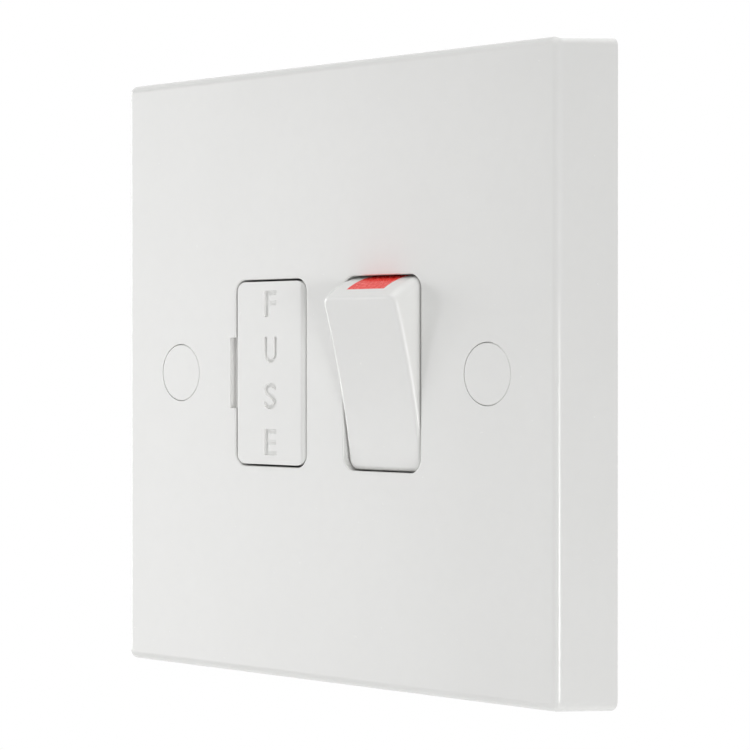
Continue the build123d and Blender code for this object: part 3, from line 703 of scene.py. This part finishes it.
class FUSED_UNIT_OT_studio(bpy.types.Operator):
    """Sets up the floor, the white surroundings, the lamps and the camera"""

    bl_idname = "fused_unit.studio"
    bl_label = "Studio"

    def execute(self, context):
        studio = settings().studio
        self.surroundings(context.scene, studio)
        self.floor(studio)
        for setting, (azimuth, elevation, distance, size, faces) in LAMPS.items():
            towards = direction(radians(azimuth), radians(elevation))
            share = getattr(studio, setting) / towards.dot(faces)
            soft_lamp(f"{setting}_lamp", towards, distance, size, share)
        self.camera(context.scene, studio)
        context.scene.view_settings.view_transform = "Standard"
        return {"FINISHED"}

    def surroundings(self, scene, studio):
        world = bpy.data.worlds.new("white_surroundings")
        world.use_nodes = True
        scene.world = world
        nodes = Nodes(world.node_tree)
        lit = nodes.node("ShaderNodeBackground", {}, {"Color": WHITE, "Strength": studio.fill})
        seen = nodes.node("ShaderNodeBackground", {}, {"Color": WHITE, "Strength": 1.0})
        nodes.end_with("World Output", nodes.shown_behind(), lit, seen)

    def floor(self, studio):
        bpy.ops.object.select_all(action="DESELECT")
        bpy.ops.mesh.primitive_circle_add(
            vertices=FLOOR_SIDES,
            radius=studio.floor_radius,
            fill_type="NGON",
            location=(0.0, 0.0, -studio.floor_drop),
        )
        floor = bpy.context.object
        floor.name = "studio_floor"
        bpy.ops.object.transform_apply()
        finish = Finish("floor_paper", {"Roughness": 0.9})
        mottle = finish.noise(30 * MILLIMETRE, detail=3)
        pale, grey = (0.9, 0.9, 0.9), (0.88, 0.88, 0.88)
        finish.set(Base_Color=finish.blend(mottle, pale, grey))
        x = finish.node("ShaderNodeSeparateXYZ", {}, {"Vector": finish.place}, "X")
        y = finish.node("ShaderNodeSeparateXYZ", {}, {"Vector": finish.place}, "Y")
        fade_start, fade_end = 0.4 * studio.floor_radius, 0.95 * studio.floor_radius
        fade = (x * x + y * y).rise(fade_start**2, fade_end**2)
        white = finish.node("ShaderNodeEmission", {}, {"Strength": 1.0})
        paper = Signal(finish, finish.surface.outputs[0])
        finish.end_with("Material Output", finish.shown_behind() * fade, paper, white)
        floor.data.materials.append(finish.material)

    def camera(self, scene, studio):
        bpy.ops.object.select_all(action="DESELECT")
        bpy.ops.object.camera_add()
        camera = bpy.context.object
        camera.name = "front_right_camera"
        camera.data.sensor_width = SENSOR_WIDTH
        camera.data.lens = studio.focal_length
        camera.data.clip_start = 10 * MILLIMETRE
        place = direction(studio.camera_azimuth, 0.0) * studio.camera_distance
        place.z = studio.camera_height
        camera.matrix_world = (
            Matrix.Translation(place)
            @ Matrix.Rotation(studio.view_azimuth, 4, "Z")
            @ Matrix.Rotation(radians(90) - studio.view_pitch, 4, "X")
        )
        scene.camera = camera


class FUSED_UNIT_PT_dressing(bpy.types.Panel):
    """Lists the steps that dress the fused connection unit"""

    bl_idname = "FUSED_UNIT_PT_dressing"
    bl_label = "Fused connection unit"
    bl_space_type = "VIEW_3D"
    bl_region_type = "UI"
    bl_category = "Fused unit"

    def draw(self, context):
        groups = context.scene.fused_unit
        for group in (groups.lettering, groups.thread, groups.colours, groups.studio):
            box = self.layout.box()
            for name in group.__annotations__:
                box.prop(group, name)
        for step in STEPS:
            self.layout.operator(step.bl_idname)


STEPS = (
    FUSED_UNIT_OT_mouldings,
    FUSED_UNIT_OT_metalwork,
    FUSED_UNIT_OT_fuse_carrier,
    FUSED_UNIT_OT_fixing_screws,
    FUSED_UNIT_OT_studio,
)
CLASSES = (
    LetteringSettings,
    ThreadSettings,
    ColourSettings,
    StudioSettings,
    UnitSettings,
    *STEPS,
    FUSED_UNIT_PT_dressing,
)


def register():
    for each in CLASSES:
        bpy.utils.register_class(each)
    bpy.types.Scene.fused_unit = PointerProperty(type=UnitSettings)


def unregister():
    del bpy.types.Scene.fused_unit
    for each in reversed(CLASSES):
        bpy.utils.unregister_class(each)


def main():
    register()
    bpy.ops.fused_unit.mouldings()
    bpy.ops.fused_unit.metalwork()
    bpy.ops.fused_unit.fuse_carrier()
    bpy.ops.fused_unit.fixing_screws()
    bpy.ops.fused_unit.studio()


if __name__ == "__main__":
    main()
